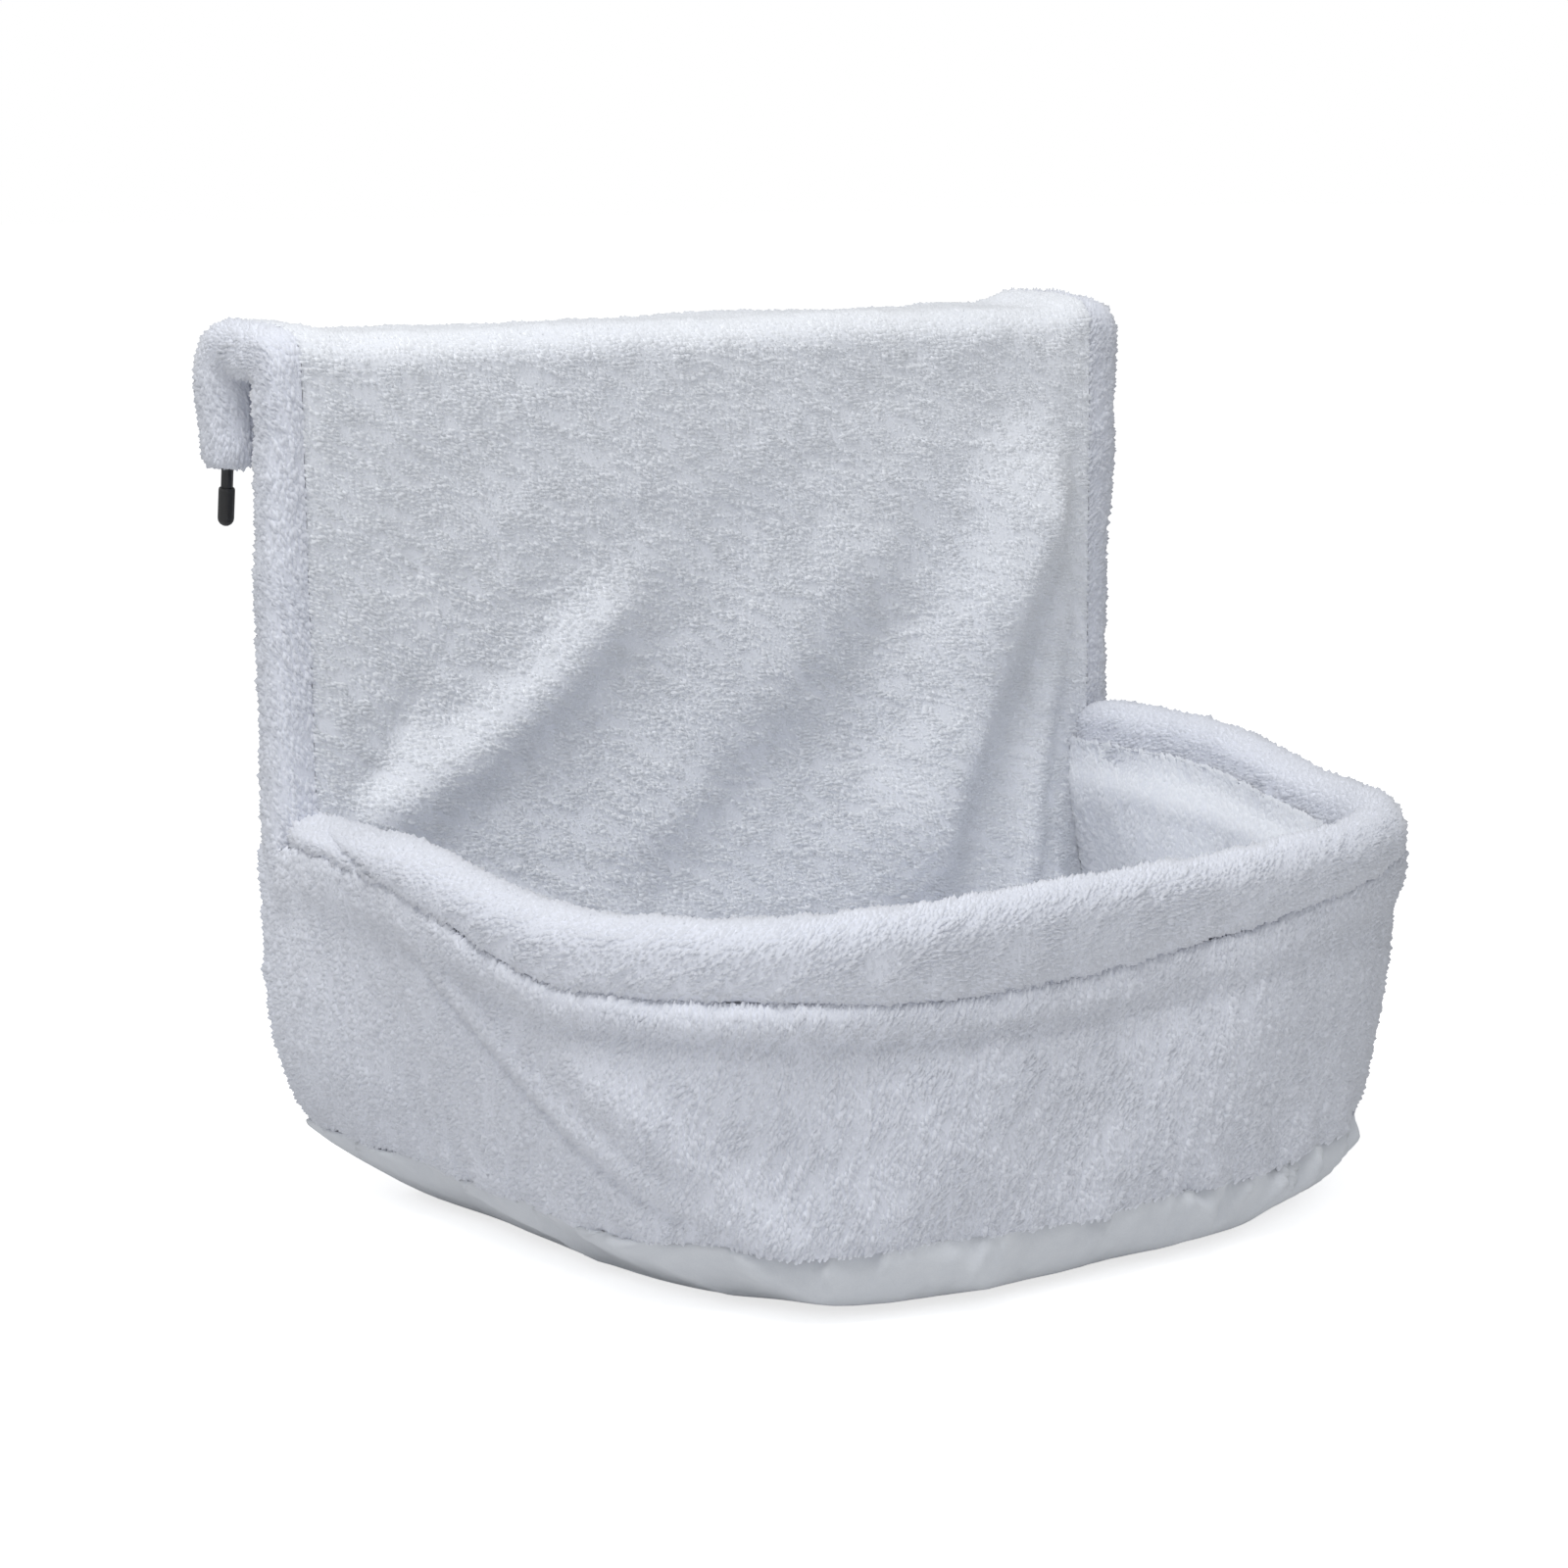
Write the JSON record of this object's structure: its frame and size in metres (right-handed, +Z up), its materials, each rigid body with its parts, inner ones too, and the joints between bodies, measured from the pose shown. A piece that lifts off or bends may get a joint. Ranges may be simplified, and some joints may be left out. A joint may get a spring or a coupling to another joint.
{
  "type": "radiator cat bed",
  "caption": "Plush basket bed on a steel frame that hooks over a radiator's top edge, with sliding hooks that suit its depth and a removable cover.",
  "frame": {"origin": "middle of the gap for the radiator, on the underside of the hook sleeve, where the radiator's top edge bears", "axes": "+Z up, +Y towards the wall behind the radiator, +X to the right of someone who faces the bed"},
  "size_m": [0.4876, 0.3825, 0.3845],
  "materials": {
    "pale_plush": "short-pile plush",
    "base_fabric": "smooth brushed cloth",
    "black_coated_steel": "satin powder coat",
    "black_plastic": "matt",
    "grey_board": "plain fibre board",
    "zip_tape_cloth": "woven tape"
  },
  "bodies": {
    "frame": {"left_upright": "black_coated_steel", "right_upright": "black_coated_steel", "left_upright_plug": "black_plastic", "right_upright_plug": "black_plastic", "upper_cross_bar": "black_coated_steel", "lower_cross_bar": "black_coated_steel", "left_guide_tube": "black_coated_steel", "right_guide_tube": "black_coated_steel", "left_hoop_socket": "black_coated_steel", "right_hoop_socket": "black_coated_steel", "left_hoop_screw": "black_coated_steel", "right_hoop_screw": "black_coated_steel", "rim_hoop": "black_coated_steel", "face_cloth": "pale_plush", "rear_cloth": "pale_plush", "left_gusset": "pale_plush", "right_gusset": "pale_plush", "rim_sleeve": "pale_plush", "outer_wall": "pale_plush", "inner_wall": "pale_plush", "base_cloth": "base_fabric", "base_board": "grey_board", "floor_pad": "pale_plush", "zip_tape": "zip_tape_cloth", "zip_chain": "black_plastic"},
    "left_hook": {"left_hook_rod": "black_coated_steel", "left_hook_cap": "black_plastic", "flap_face": "pale_plush", "flap_lining": "pale_plush", "left_flap_gusset": "pale_plush", "right_flap_gusset": "pale_plush"},
    "right_hook": {"right_hook_rod": "black_coated_steel", "right_hook_cap": "black_plastic"},
    "left_clamp": {"left_clamp_screw": "black_coated_steel"},
    "right_clamp": {"right_clamp_screw": "black_coated_steel"},
    "zip_slider": {"zip_slider": "black_plastic"},
    "zip_pull": {"zip_pull": "black_plastic"}
  },
  "joints": [
    {"name": "left_hook_slide", "type": "slide", "parent": "frame", "child": "left_hook", "axis": [0, 1, 0], "range_m": [0, 0.025]},
    {"name": "right_hook_slide", "type": "slide", "parent": "frame", "child": "right_hook", "axis": [0, 1, 0], "range_m": [0, 0.025]},
    {"name": "left_clamp_turn", "type": "hinge", "parent": "frame", "child": "left_clamp", "pos_m": [-0.22425, 0.004, 0.01125], "axis": [1, 0, 0], "range_deg": [0, 360]},
    {"name": "right_clamp_turn", "type": "hinge", "parent": "frame", "child": "right_clamp", "pos_m": [0.22425, 0.004, 0.01125], "axis": [1, 0, 0], "range_deg": [0, 360]},
    {"name": "zip_slide", "type": "slide", "parent": "frame", "child": "zip_slider", "axis": [1, 0, 0], "range_m": [0, 0.365]},
    {"name": "zip_pull_swing", "type": "hinge", "parent": "zip_slider", "child": "zip_pull", "pos_m": [-0.18275, -0.0068, -0.297], "axis": [0, 0, -1], "range_deg": [0, 175]}
  ],
  "couplings": [
    {"joint": "right_hook_slide", "follows": "left_hook_slide", "ratio": 1}
  ]
}
